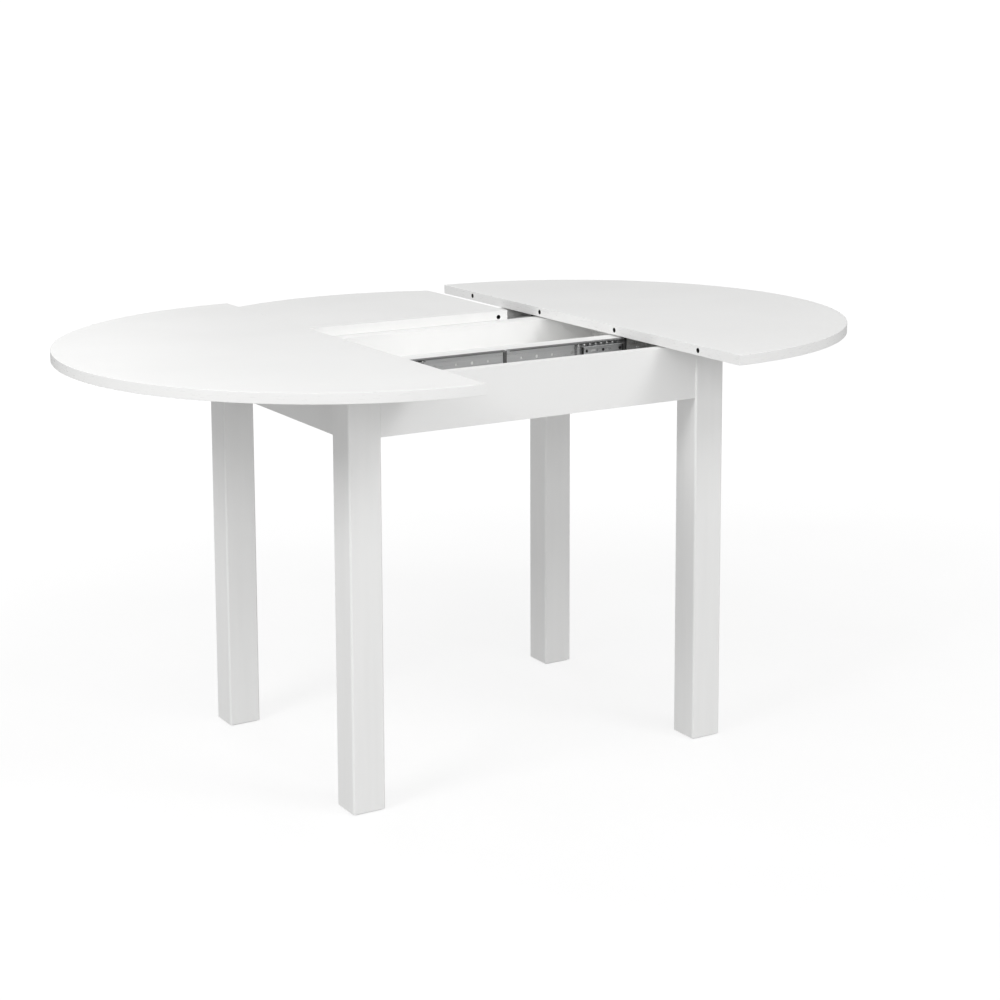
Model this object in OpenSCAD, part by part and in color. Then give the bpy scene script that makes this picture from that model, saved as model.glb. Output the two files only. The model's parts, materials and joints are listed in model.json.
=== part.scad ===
// Round dining table whose two half tops slide apart on ball-bearing slides.
// Millimetres. +X runs along the slides, +Z is up, and the origin is on the floor at the centre.
// It is drawn open, with the back piece of its three-piece leaf lying in place.

/* [Top] */
// Diameter of the closed round top
top_d = 1000; // [960:10:1040]
// Thickness of the top and leaf boards
board_t = 18; // [16:1:22]
// Height of the top's surface above the floor
table_h = 750; // [720:5:780]
// How far each half is pulled out from the middle
pull_out = 243; // [200:1:248]
// Thickness of the edge banding
band_t = 1; // [0.8:0.1:2]

/* [Frame] */
// Length of the leg frame, outside the legs
frame_l = 750; // [730:5:780]
// Width of the leg frame, outside the legs
frame_w = 564; // [556:2:600]
// Side of the square legs
leg_w = 60; // [54:1:64]
// Radius on the legs' upright edges
leg_r = 4; // [2:0.5:6]
// Height of the aprons
apron_h = 97; // [94:1:110]
// How far the aprons sit behind the legs' faces
apron_set = 3; // [1:0.5:5]
// Running gap between the frame and the half tops
frame_gap = 2; // [1:0.5:3]
// Height of the glides under the legs
glide_t = 2; // [2:0.5:4]

/* [Tray and rails] */
// Thickness of the rail and tray boards
rail_t = 18; // [16:1:18]
// Height of the rails and the tray's walls
rail_h = 60; // [58:1:60]
// Inside width of the tray
tray_w = 220; // [200:2:220]
// Thickness of the tray's bottom panel
tray_base_t = 6; // [3:1:6]

/* [Slides] */
// Length of each slide member
slide_l = 250; // [240:5:252]
// Height of the slides
slide_h = 35; // [35:1:36]
// Depth of the slides, from rail to angle
slide_d = 12.7; // [12.7:0.1:13]
// Gap between two channels that meet end to end
channel_gap = 7; // [3:0.5:8]
// Share of the pull that the left middle members move
share_left = 0.68; // [0.5:0.01:0.7]
// Share of the pull that the right middle members move
share_right = 0.634; // [0.5:0.001:0.7]
// Length of the ball cages
cage_l = 90; // [60:5:95]
// Diameter of the balls between channels and middle members
ball_d = 6; // [5.5:0.1:6]
// Diameter of the balls between middle and inner members
small_ball_d = 2.4; // [2.2:0.1:2.4]
// Length of the steel angles under the half tops
angle_l = 280; // [270:10:300]
// Width of the angles' upper leg
angle_w = 25; // [22:1:30]
// Thickness of the angles
angle_t = 1.6; // [1.2:0.1:1.6]

/* [Leaf] */
// Length of the leaf along the slides
leaf_l = 422; // [400:2:440]
// Half the width of the leaf's middle piece
leaf_mid = 142; // [138:1:144]
// Diameter of the locating pins
pin_d = 8; // [6:1:8]
// How far a locating pin stands out
pin_out = 10; // [8:1:12]
// Distance between two locating pins along a seam
pin_pitch = 256; // [240:2:260]

/* [Hidden] */
$fn = 48;
e = 0.01;
top_r = top_d / 2;
top_z = table_h - board_t;         // underside of the half tops
frame_z = top_z - frame_gap;       // top of the frame
apron_z = frame_z - apron_h;
apron_t = board_t;
apron_x = frame_l / 2 - apron_set; // outer face of the end aprons
apron_y = frame_w / 2 - apron_set; // outer face of the long aprons
in_x = apron_x - apron_t;          // inner face of the end aprons
in_y = apron_y - apron_t;          // inner face of the long aprons
leg_x = frame_l / 2 - leg_w / 2;
leg_y = frame_w / 2 - leg_w / 2;
rail_z = frame_z - rail_h;
tray_y = tray_w / 2;
rail_y = tray_y + rail_t;          // inner face of the rails
slide_y = rail_y + rail_t;         // outer face of the rails
angle_y = slide_y + slide_d;       // inner face of the steel angles
fix_y = angle_y + 16;              // screws through the angles into the half tops
slide_z = frame_z - slide_h / 2;   // centre line of the slides
steel = 1.2;                       // sheet thickness of the slides
seam = pull_out;
body_gap = 0.3;                    // least gap between pieces that move apart
pin_z = top_z + board_t / 2;
pins_y = [-1.5, -0.5, 0.5, 1.5] * pin_pitch;
leaf_x = -seam + body_gap + leaf_l / 2;
leaf_z = frame_z + body_gap;
join_x = leaf_l / 2 - 19.5;         // pins between leaf pieces, from the leaf's centre line
join_z = 6;                        // height of those pins above the leaf's underside

// slide cross-section: distance out from the rail, and half heights
cage_u = 1.6;
mid_u = 2.8;
cage2_u = 4.5;
inner_u = 5.6;
race = slide_h / 2 - steel;        // inside of the channel's flanges
mid_v = race - 0.6 - ball_d;
ball_v = mid_v + 0.3 + ball_d / 2;
inner_v = mid_v - steel - 0.6 - small_ball_d;
ball2_v = inner_v + 0.3 + small_ball_d / 2;
cage_t = 0.6;
channel_d = 12;
channel_holes = [34, 66, 98];      // from the middle of the table
channel_slots = [183, 213];
channel_screws = [140, 232];
angle_rivets = [30, 125, 220];     // from the seam
angle_screws_at = [60, 165, 262];  // from the seam
mid_rivets = [12, 47, 83];         // from the middle member's inner end
buffer_l = 4;

// leg-to-apron corner plates
plate_t = 2;
plate_h = 50;
plate_z = rail_z - 10;
plate_sum = frame_l / 2 + frame_w / 2 - 2 * leg_w - 4; // |x| + |y| on the plate's leg side
bolt_z = [plate_z + 13, plate_z + plate_h - 13];

white = "#f3f3f1";
metal = "#b4b7ba";
black = "#26272a";
inside = "#e6e6e3";

// ---- helpers ----

// Box from one corner to the other.
module span(lo, hi) translate(lo) cube(hi - lo);

// Cylinder lying along X, from x0 to x1.
module rod_x(x0, x1, d) translate([x0, 0, 0]) rotate([0, 90, 0]) cylinder(d = d, h = x1 - x0);

// Cylinder lying along Y, from y0 to y1.
module rod_y(y0, y1, d) translate([0, y1, 0]) rotate([90, 0, 0]) cylinder(d = d, h = y1 - y0);

// Draws its child in the corner of the table with the given signs.
module corner(sx, sy) mirror([sx < 0 ? 1 : 0, 0, 0]) mirror([0, sy < 0 ? 1 : 0, 0]) children();

module both_ends() for (sx = [-1, 1]) corner(sx, 1) children();
module both_sides() for (sy = [-1, 1]) corner(1, sy) children();
module four_corners() for (sx = [-1, 1], sy = [-1, 1]) corner(sx, sy) children();

module rounded_square(w, r) {
    square([w, w - 2 * r], center = true);
    square([w - 2 * r, w], center = true);
    for (x = [-1, 1], y = [-1, 1]) translate([x, y] * (w / 2 - r)) circle(r);
}

// ---- legs and aprons ----

// Places its child on the diagonal through the back right leg's inner edge, +X towards the leg.
module on_leg_diagonal(z)
    translate([frame_l / 2 - leg_w, frame_w / 2 - leg_w, z]) rotate([0, 0, 45]) children();

module leg() color(white) difference() {
    translate([leg_x, leg_y, glide_t]) linear_extrude(frame_z - glide_t) rounded_square(leg_w, leg_r);
    for (z = bolt_z) on_leg_diagonal(z) rod_x(-1, 42, 8);
}

module foot_glides() color(inside) four_corners()
    translate([leg_x, leg_y, 0]) linear_extrude(glide_t) rounded_square(leg_w - 7, leg_r);

module plate_screw_holes_long() both_ends()
    for (x = [8, 20], z = bolt_z) translate([plate_sum - in_y + x, 0, z]) rod_y(in_y - e, in_y + 12.5, 3);

module plate_screw_holes_end() both_sides()
    for (y = [8, 20], z = bolt_z) translate([0, plate_sum - in_x + y, z]) rod_x(in_x - e, in_x + 12.5, 3);

module long_apron() color(white) difference() {
    span([leg_w - frame_l / 2, in_y, apron_z], [frame_l / 2 - leg_w, apron_y, frame_z]);
    plate_screw_holes_long();
}

// End apron, with a notch in its top edge on each side where the slides and angles pass.
module end_apron() color(white) difference() {
    span([in_x, leg_w - frame_w / 2, apron_z], [apron_x, frame_w / 2 - leg_w, frame_z]);
    both_sides() span([in_x - 1, slide_y + 1.5, frame_z - slide_h - 1.5],
                      [apron_x + 1, angle_y + angle_t + 4, frame_z + 1]);
    plate_screw_holes_end();
    rail_dowel_holes();
}

// ---- corner plates ----

// Plan of one plate: a diagonal strip whose ends turn back along the aprons towards the leg.
module plate_plan() {
    a = plate_sum - in_y;
    b = plate_sum - in_x;
    k = plate_t * sqrt(2);
    polygon([[a - k, in_y], [a + 28, in_y], [a + 28, in_y - plate_t], [a + plate_t, in_y - plate_t],
             [in_x - plate_t, b + plate_t], [in_x - plate_t, b + 28], [in_x, b + 28], [in_x, b - k]]);
}

module corner_plates() color(metal) four_corners() difference() {
    translate([0, 0, plate_z]) linear_extrude(plate_h) plate_plan();
    for (z = bolt_z) {
        on_leg_diagonal(z) rod_x(-12, -1, 9);
        for (s = [8, 20]) {
            translate([plate_sum - in_y + s, 0, z]) rod_y(in_y - 5, in_y + 1, 3.6);
            translate([0, plate_sum - in_x + s, z]) rod_x(in_x - 5, in_x + 1, 3.6);
        }
    }
}

module hanger_bolts() color(metal) four_corners()
    for (z = bolt_z) on_leg_diagonal(z) rod_x(-16, 40, 7.9);

module hanger_nuts() color(metal) four_corners() for (z = bolt_z) on_leg_diagonal(z) {
    u = -(frame_l / 2 + frame_w / 2 - 2 * leg_w - plate_sum) / sqrt(2) - plate_t;
    difference() {
        union() {
            rod_x(u - 1.6, u, 16);
            rotate([0, 90, 0]) translate([0, 0, u - 8.1]) cylinder(d = 15, h = 6.5, $fn = 6);
        }
        rod_x(u - 9, u + 1, 8);
    }
}

// One pan-head screw along +X, head at x = 0.
module screw(shank, length, head) {
    rod_x(-2, 0, head);
    rod_x(-e, length, shank);
}

module plate_screws() color(metal) four_corners() for (z = bolt_z, s = [8, 20]) {
    translate([plate_sum - in_y + s, in_y - plate_t, z]) rotate([0, 0, 90]) screw(2.9, 13, 6.5);
    translate([in_x - plate_t, plate_sum - in_x + s, z]) screw(2.9, 13, 6.5);
}

// ---- rails and tray ----

module rail_dowel_holes() both_ends() both_sides() for (z = [rail_z + 15, rail_z + rail_h - 15])
    translate([0, rail_y + rail_t / 2, z]) rod_x(in_x - 20.5, in_x + 12.5, 8);

module rail_dowels() color(inside) four_corners() for (z = [rail_z + 15, rail_z + rail_h - 15])
    translate([0, rail_y + rail_t / 2, z]) rod_x(in_x - 20, in_x + 12, 7.9);

module slide_rail() color(white) difference() {
    span([-in_x, rail_y, rail_z], [in_x, slide_y, frame_z]);
    rail_dowel_holes();
    both_ends() for (x = channel_screws) translate([x, 0, slide_z]) rod_y(slide_y - 14, slide_y + 1, 3);
}

module tray_side() color(white)
    span([-in_x, tray_y, rail_z], [in_x, rail_y, frame_z]);

module tray_bottom() color(inside)
    span([-in_x, -rail_y, rail_z - tray_base_t], [in_x, rail_y, rail_z]);

// ---- slides ----

// Places its child on a slide's centre line: +Y runs out from the rail, +Z is up.
module on_slide() translate([0, slide_y, slide_z]) children();

// Slot through a slide member's web.
module web_slot(x, length, width, u) {
    reach = (length - width) / 2;
    for (s = [-1, 1]) translate([x + s * reach, 0, 0]) rod_y(u - 1, u + steel + 1, width);
    span([x - reach, u - 1, -width / 2], [x + reach, u + steel + 1, width / 2]);
}

module channel() color(metal) on_slide() difference() {
    x0 = channel_gap / 2;
    x1 = x0 + slide_l;
    union() {
        span([x0, 0, -slide_h / 2], [x1, steel, slide_h / 2]);
        for (m = [0, 1]) mirror([0, 0, m]) {
            span([x0, 0, race], [x1, channel_d, slide_h / 2]);
            span([x0, channel_d - steel, race - 1.1], [x1, channel_d, race + e]);
        }
    }
    for (x = channel_holes) translate([x, 0, 0]) rod_y(-1, steel + 1, x == channel_holes[1] ? 6 : 4.5);
    web_slot(channel_slots[0], 17, 5, 0);
    web_slot(channel_slots[1], 9, 5, 0);
    for (x = channel_screws) translate([x, 0, 0]) rotate([-90, 0, 0]) translate([0, 0, -e])
        cylinder(d1 = 3.4, d2 = 7.2, h = steel + 2 * e);
}

module channel_screws_all() color(metal) four_corners() on_slide() for (x = channel_screws)
    translate([x, 0, 0]) {
        rotate([-90, 0, 0]) translate([0, 0, 0.05]) cylinder(d1 = 3.2, d2 = 6.8, h = steel - 0.15);
        rod_y(-13.5, 0.1, 2.9);
    }

// Black buffer strip on the rail, between two channels that meet end to end.
module channel_buffers() color(black) both_sides() on_slide()
    span([0.3 - channel_gap / 2, 0, 1 - race], [channel_gap / 2 - 0.3, 3, race - 1]);

// Cage with its balls: two arms that carry the balls, joined at both ends.
module ball_cage(x0, v, u0, u1, d) color(metal) on_slide() {
    pitch = 12;
    for (m = [0, 1]) mirror([0, 0, m]) {
        span([x0, u0, v - cage_t / 2], [x0 + cage_l, u1, v + cage_t / 2]);
        for (i = [0 : floor((cage_l - 8) / pitch)])
            translate([x0 + 5 + i * pitch, (u0 + u1) / 2 + 0.4, v]) sphere(d = d, $fn = 14);
    }
    for (x = [x0, x0 + cage_l - 5])
        span([x, u0, -v - cage_t / 2], [x + 5, u0 + cage_t, v + cage_t / 2]);
}

module middle_member(share) color(metal) on_slide() {
    x0 = channel_gap / 2 + share * pull_out;
    difference() {
        union() {
            span([x0, mid_u, -mid_v], [x0 + slide_l, mid_u + steel, mid_v]);
            for (m = [0, 1]) mirror([0, 0, m])
                span([x0, mid_u, mid_v - steel], [x0 + slide_l, channel_d - 0.4, mid_v]);
        }
        web_slot(x0 + 29, 17, 5, mid_u);
        web_slot(x0 + 59, 9, 5, mid_u);
        for (x = mid_rivets) translate([x0 + x, 0, 0]) rod_y(mid_u - 1, mid_u + steel + 1, 4);
    }
}

// Black rivets and end strip that stop the middle member at the end of its travel.
module member_stops(share) color(black) both_sides() on_slide()
    translate([channel_gap / 2 + share * pull_out, mid_u, 0]) {
        for (x = mid_rivets) translate([x, 0, 0]) {
            rod_y(0, steel, 3.9);
            rod_y(steel, steel + 0.4, 5.5);
        }
        span([0, steel, 1.6 - mid_v], [5, steel + 1.2, mid_v - 1.6]);
    }

module inner_members() color(metal) both_sides() on_slide() difference() {
    x0 = seam + buffer_l + 1;
    union() {
        span([x0, slide_d - steel, -inner_v], [seam + slide_l, slide_d, inner_v]);
        for (m = [0, 1]) mirror([0, 0, m])
            span([x0, inner_u, inner_v - steel], [seam + slide_l, slide_d, inner_v]);
    }
    for (x = angle_rivets) translate([seam + x, 0, 0]) rod_y(inner_u, slide_d + 1, 4.5);
}

// Black buffer on the inner end of each inner member; its upright covers the end of the angle.
module end_buffers() color(black) both_sides() on_slide() translate([seam + 1, 0, 0]) {
    span([0, inner_u, 0.6 - mid_v + steel], [buffer_l, slide_d, mid_v - steel - 0.6]);
    span([0, slide_d - e, 1 - slide_h / 2], [buffer_l, slide_d + angle_t, slide_h / 2 + frame_gap - 0.2]);
}

// Steel angle: one leg riveted to the inner member, the other screwed up into the half top.
module slide_angle() color(metal) difference() {
    x0 = seam + buffer_l + 1.2;
    union() {
        span([x0, angle_y, frame_z - slide_h + 1], [seam + angle_l, angle_y + angle_t, top_z]);
        span([x0, angle_y, top_z - angle_t], [seam + angle_l, angle_y + angle_w, top_z]);
    }
    for (x = angle_rivets) translate([seam + x, 0, slide_z]) rod_y(angle_y - 1, angle_y + 3, 4.5);
    for (x = angle_screws_at) translate([seam + x, fix_y, top_z - angle_t - e])
        cylinder(d1 = 7.4, d2 = 4.3, h = angle_t + 2 * e);
}

// Rivets between inner members and angles, and countersunk screws up into the half top.
module angle_screws() color(metal) both_sides() {
    for (x = angle_rivets) translate([seam + x, 0, slide_z]) {
        rod_y(angle_y - steel - 1.2, angle_y - steel, 7);
        rod_y(angle_y - steel - e, angle_y + angle_t + e, 4.4);
        rod_y(angle_y + angle_t, angle_y + angle_t + 1.2, 7.5);
    }
    for (x = angle_screws_at) translate([seam + x, fix_y, top_z - angle_t + 0.05]) {
        cylinder(d1 = 7, d2 = 4, h = angle_t - 0.1);
        cylinder(d = 3.9, h = 13.5);
    }
}

// ---- half tops ----

// Right-hand half disc of the given radius, starting at x = x0.
module half_disc(r, x0, h) translate([seam, 0, top_z]) intersection() {
    cylinder(r = r, h = h, $fn = 180);
    span([x0, -top_d, -1], [top_d, top_d, h + 1]);
}

module half_top(pin_hole_d, pin_hole_l) color(white) difference() {
    half_disc(top_r - band_t, band_t, board_t);
    for (y = pins_y) translate([0, y, pin_z]) rod_x(seam - 1, seam + pin_hole_l, pin_hole_d);
    both_sides() for (x = angle_screws_at)
        translate([seam + x, fix_y, top_z - 1]) cylinder(d = 4.2, h = 14);
}

// Banding round the curved edge and along the seam.
module edge_band(pin_hole_d) color(white) {
    difference() {
        half_disc(top_r, 0, board_t);
        translate([0, 0, -1]) half_disc(top_r - band_t, -1, board_t + 2);
    }
    difference() {
        span([seam, band_t - top_r, top_z], [seam + band_t, top_r - band_t, table_h]);
        for (y = pins_y) translate([0, y, pin_z]) rod_x(seam - 1, seam + 3, pin_hole_d);
    }
}

module locating_pins_left() color(inside) corner(-1, 1) for (y = pins_y)
    translate([0, y, pin_z]) {
        rod_x(seam - pin_out + 1, seam + 24, pin_d - 0.1);
        translate([seam - pin_out, 0, 0]) rotate([0, 90, 0])
            cylinder(d1 = pin_d - 2, d2 = pin_d - 0.1, h = 1 + e);
    }

// ---- leaf ----

// Curved end piece of the leaf in its own frame: centre line on x = 0, centre of the arc at 0.
module leaf_end_plan(r) intersection() {
    circle(r, $fn = 180);
    translate([-leaf_l / 2, leaf_mid]) square([leaf_l, top_r]);
}

module leaf_end() difference() {
    linear_extrude(board_t) leaf_end_plan(top_r - band_t);
    for (s = [-1, 1]) translate([s * join_x, 0, join_z]) rod_y(leaf_mid - 1, leaf_mid + 12, pin_d + 0.6);
    // slot on the left that drops over a locating pin, and the hole of the pin on the right
    span([-leaf_l / 2 - 1, 1.5 * pin_pitch - pin_d / 2 - 0.5, -1],
         [-leaf_l / 2 + pin_out + 1, 1.5 * pin_pitch + pin_d / 2 + 0.5, board_t - 2.5]);
    translate([0, 1.5 * pin_pitch, board_t / 2]) rod_x(leaf_l / 2 - 20, leaf_l / 2 + 1, pin_d);
}

module leaf_back() color(white) translate([leaf_x, 0, leaf_z]) leaf_end();

module leaf_back_band() color(white) translate([leaf_x, 0, leaf_z]) linear_extrude(board_t)
    difference() {
        leaf_end_plan(top_r);
        circle(top_r - band_t, $fn = 180);
    }

module leaf_back_pin() color(inside) translate([leaf_x, 1.5 * pin_pitch, leaf_z + board_t / 2])
    rod_x(leaf_l / 2 - 19, leaf_l / 2 + pin_out, pin_d - 0.1);

// The other two leaf pieces lie stored on ledges under the tray, turned a quarter.
module leaf_ledge() color(white)
    span([leg_w - frame_l / 2, in_y - 70, apron_z], [frame_l / 2 - leg_w, in_y, apron_z + 12]);

module leaf_front() color(white) translate([-leaf_mid - 8, 0, apron_z + 12]) rotate([0, 0, -90]) leaf_end();

module leaf_middle() color(white) translate([-166, 0, apron_z + 12]) difference() {
    span([-leaf_mid, -leaf_l / 2, 0], [leaf_mid, leaf_l / 2, board_t]);
    for (s = [-1, 1], y = [-1, 1]) translate([0, y * join_x, join_z])
        rod_x(s > 0 ? leaf_mid - 20 : -leaf_mid - 1, s > 0 ? leaf_mid + 1 : 20 - leaf_mid, pin_d);
}

module stored_leaf_pins() color(inside) translate([0, 0, apron_z + 12]) {
    for (s = [0, 1], y = [-1, 1]) translate([-166, 0, 0]) mirror([s, 0, 0])
        translate([0, y * join_x, join_z]) rod_x(leaf_mid - 19, leaf_mid + 9, pin_d - 0.1);
    translate([-leaf_mid - 8 + 1.5 * pin_pitch, 0, board_t / 2])
        rod_y(-leaf_l / 2 - pin_out, 19 - leaf_l / 2, pin_d - 0.1);
}

corner(-1, -1) leg();  // leg_front_left
corner(1, -1) leg();  // leg_front_right
corner(-1, 1) leg();  // leg_back_left
leg();  // leg_back_right
foot_glides();
corner(1, -1) long_apron();  // apron_front
long_apron();  // apron_back
corner(-1, 1) end_apron();  // apron_left
end_apron();  // apron_right
corner_plates();
hanger_bolts();
hanger_nuts();
plate_screws();
corner(1, -1) slide_rail();  // slide_rail_front
slide_rail();  // slide_rail_back
rail_dowels();
corner(1, -1) tray_side();  // tray_side_front
tray_side();  // tray_side_back
tray_bottom();
corner(1, -1) leaf_ledge();  // leaf_ledge_front
leaf_ledge();  // leaf_ledge_back
leaf_middle();
stored_leaf_pins();
leaf_front();
corner(-1, -1) channel();  // channel_front_left
corner(1, -1) channel();  // channel_front_right
corner(-1, 1) channel();  // channel_back_left
channel();  // channel_back_right
channel_screws_all();
channel_buffers();
both_sides() corner(-1, 1) ball_cage(share_left * pull_out - 3, ball_v, cage_u, 9.8, ball_d);  // ball_cages_left
both_sides() ball_cage(share_right * pull_out - 9, ball_v, cage_u, 9.8, ball_d);  // ball_cages_right
both_sides() corner(-1, 1) ball_cage(seam + 60, ball2_v, cage2_u, 10.5, small_ball_d);  // inner_cages_left
both_sides() ball_cage(seam + 60, ball2_v, cage2_u, 10.5, small_ball_d);  // inner_cages_right
corner(-1, -1) middle_member(share_left);  // middle_member_front_left
corner(-1, 1) middle_member(share_left);  // middle_member_back_left
corner(1, -1) middle_member(share_right);  // middle_member_front_right
middle_member(share_right);  // middle_member_back_right
corner(-1, 1) member_stops(share_left);  // member_stops_left
member_stops(share_right);  // member_stops_right
corner(-1, 1) half_top(pin_d, 25);  // top_left
corner(-1, 1) edge_band(pin_d);  // edge_band_left
corner(-1, 1) inner_members();  // inner_members_left
corner(-1, 1) end_buffers();  // end_buffers_left
corner(-1, -1) slide_angle();  // slide_angle_front_left
corner(-1, 1) slide_angle();  // slide_angle_back_left
corner(-1, 1) angle_screws();  // angle_screws_left
locating_pins_left();
half_top(pin_d + 1, pin_out + 3);  // top_right
edge_band(pin_d + 1);  // edge_band_right
inner_members();  // inner_members_right
end_buffers();  // end_buffers_right
corner(1, -1) slide_angle();  // slide_angle_front_right
slide_angle();  // slide_angle_back_right
angle_screws();  // angle_screws_right
leaf_back();
leaf_back_band();
leaf_back_pin();
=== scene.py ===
import json
import math

import bmesh
import bpy
from mathutils import Matrix, Vector


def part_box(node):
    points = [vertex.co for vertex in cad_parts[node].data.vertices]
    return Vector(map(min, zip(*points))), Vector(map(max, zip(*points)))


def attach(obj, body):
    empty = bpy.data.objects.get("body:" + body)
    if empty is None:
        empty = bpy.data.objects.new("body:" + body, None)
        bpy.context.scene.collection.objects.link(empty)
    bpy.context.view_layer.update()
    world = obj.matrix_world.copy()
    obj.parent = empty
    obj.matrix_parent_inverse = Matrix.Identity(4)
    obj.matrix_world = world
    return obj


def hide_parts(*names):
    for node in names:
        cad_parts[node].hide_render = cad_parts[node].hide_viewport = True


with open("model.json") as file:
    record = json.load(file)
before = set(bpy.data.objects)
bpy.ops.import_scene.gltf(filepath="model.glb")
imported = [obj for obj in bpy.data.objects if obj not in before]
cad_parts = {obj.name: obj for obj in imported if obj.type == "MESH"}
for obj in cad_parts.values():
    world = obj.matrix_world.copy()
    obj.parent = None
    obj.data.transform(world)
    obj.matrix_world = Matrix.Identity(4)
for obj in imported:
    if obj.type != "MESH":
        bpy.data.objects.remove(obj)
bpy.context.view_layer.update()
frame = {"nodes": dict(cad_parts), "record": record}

MM = 0.001
RECORD = frame["record"]
SLOT_OF = {s["node"]: s["material_slot"] for s in RECORD["subparts"]}
BODY_OF = {n: body for body, names in RECORD["behaviour"]["bodies"].items() for n in names}
scene = bpy.context.scene


# ---------------------------------------------------------------- camera

CAMERA_AT = (-1.8601, -3.2455, 1.3504)                       # metres
CAMERA_YAW, CAMERA_PITCH, CAMERA_ROLL = 30.85, 8.383, 0.195   # degrees; pitch is downwards
CAMERA_LENS, CAMERA_SENSOR = 75.458, 36.0                     # millimetres
CAMERA_SHIFT = -0.2                                           # share of the sensor


def make_camera():
    yaw, pitch, roll = (math.radians(a) for a in (CAMERA_YAW, CAMERA_PITCH, CAMERA_ROLL))
    ahead = Vector((math.sin(yaw) * math.cos(pitch),
                    math.cos(yaw) * math.cos(pitch), -math.sin(pitch)))
    right = Vector((math.cos(yaw), -math.sin(yaw), 0.0))
    down = ahead.cross(right)
    across = right * math.cos(roll) + down * math.sin(roll)
    below = down * math.cos(roll) - right * math.sin(roll)
    data = bpy.data.cameras.new("view")
    data.lens, data.sensor_width, data.shift_y = CAMERA_LENS, CAMERA_SENSOR, CAMERA_SHIFT
    camera = bpy.data.objects.new("view", data)
    turn = Matrix((across, -below, -ahead)).transposed().to_4x4()
    camera.matrix_world = Matrix.Translation(CAMERA_AT) @ turn
    scene.collection.objects.link(camera)
    scene.camera = camera


make_camera()
scene.view_settings.view_transform = "Standard"
scene.view_settings.look = "None"


# ---------------------------------------------------------------- light and floor

HORIZON, ZENITH = 0.29, 0.77      # brightness of the studio's walls and ceiling
BACKDROP = 1.05                   # brightness of the white that the camera sees behind the table
WHITE = (1, 1, 1)

# Name, place and aim in metres, width and height in metres, and watts.
SOFTBOXES = (
    ("key_right", (1.3, -2.6, 3.2), (0.0, 0.0, 0.7), 1.3, 1.3, 30.5),
    ("key_left", (-2.9, -0.9, 2.5), (-0.1, 0.0, 0.7), 1.2, 1.2, 45),
    ("back", (-0.4, 4.0, 2.6), (0.0, 0.0, 0.6), 3.0, 1.8, 23),
    ("fill", (-0.6, -5.0, 2.0), (0.0, 0.0, 0.6), 3.0, 2.0, 53),
)


def make_world():
    """A studio that is brighter overhead than at the walls. Seen directly, it is plain white."""
    world = bpy.data.worlds.new("studio")
    scene.world = world
    world.use_nodes = True
    tree = world.node_tree
    tree.nodes.clear()
    out = tree.nodes.new("ShaderNodeOutputWorld")
    mix = tree.nodes.new("ShaderNodeMixShader")
    seen = tree.nodes.new("ShaderNodeBackground")
    lit = tree.nodes.new("ShaderNodeBackground")
    path = tree.nodes.new("ShaderNodeLightPath")
    split = tree.nodes.new("ShaderNodeSeparateXYZ")
    height = tree.nodes.new("ShaderNodeMapRange")
    direction = tree.nodes.new("ShaderNodeTexCoord")
    height.inputs["To Min"].default_value = HORIZON
    height.inputs["To Max"].default_value = ZENITH
    seen.inputs["Strength"].default_value = BACKDROP
    for background in (seen, lit):
        background.inputs["Color"].default_value = (*WHITE, 1)
    tree.links.new(direction.outputs["Generated"], split.inputs[0])
    tree.links.new(split.outputs["Z"], height.inputs["Value"])
    tree.links.new(height.outputs["Result"], lit.inputs["Strength"])
    tree.links.new(path.outputs["Is Camera Ray"], mix.inputs["Fac"])
    tree.links.new(lit.outputs[0], mix.inputs[1])
    tree.links.new(seen.outputs[0], mix.inputs[2])
    tree.links.new(mix.outputs[0], out.inputs["Surface"])


def softbox(name, at, aim, width, height, watts):
    data = bpy.data.lights.new(name, "AREA")
    data.shape, data.size, data.size_y, data.energy = "RECTANGLE", width, height, watts
    lamp = bpy.data.objects.new(name, data)
    lamp.location = at
    lamp.rotation_mode = "QUATERNION"
    lamp.rotation_quaternion = (Vector(aim) - Vector(at)).to_track_quat("-Z", "Y")
    scene.collection.objects.link(lamp)


make_world()
for softbox_values in SOFTBOXES:
    softbox(*softbox_values)


# ---------------------------------------------------------------- materials

NOISE_LOW, NOISE_HIGH = 0.3, 0.7      # most of a noise's values lie between these
OFF_WHITE = (1.0, 1.0, 0.992)
ROLLED_DARK, ROLLED_LIGHT = (0.985, 0.995, 1.01), (0.99, 0.995, 1.0)
PLATED_DARK, PLATED_LIGHT = (1.0, 0.99, 0.96), (0.98, 0.99, 1.0)


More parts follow.
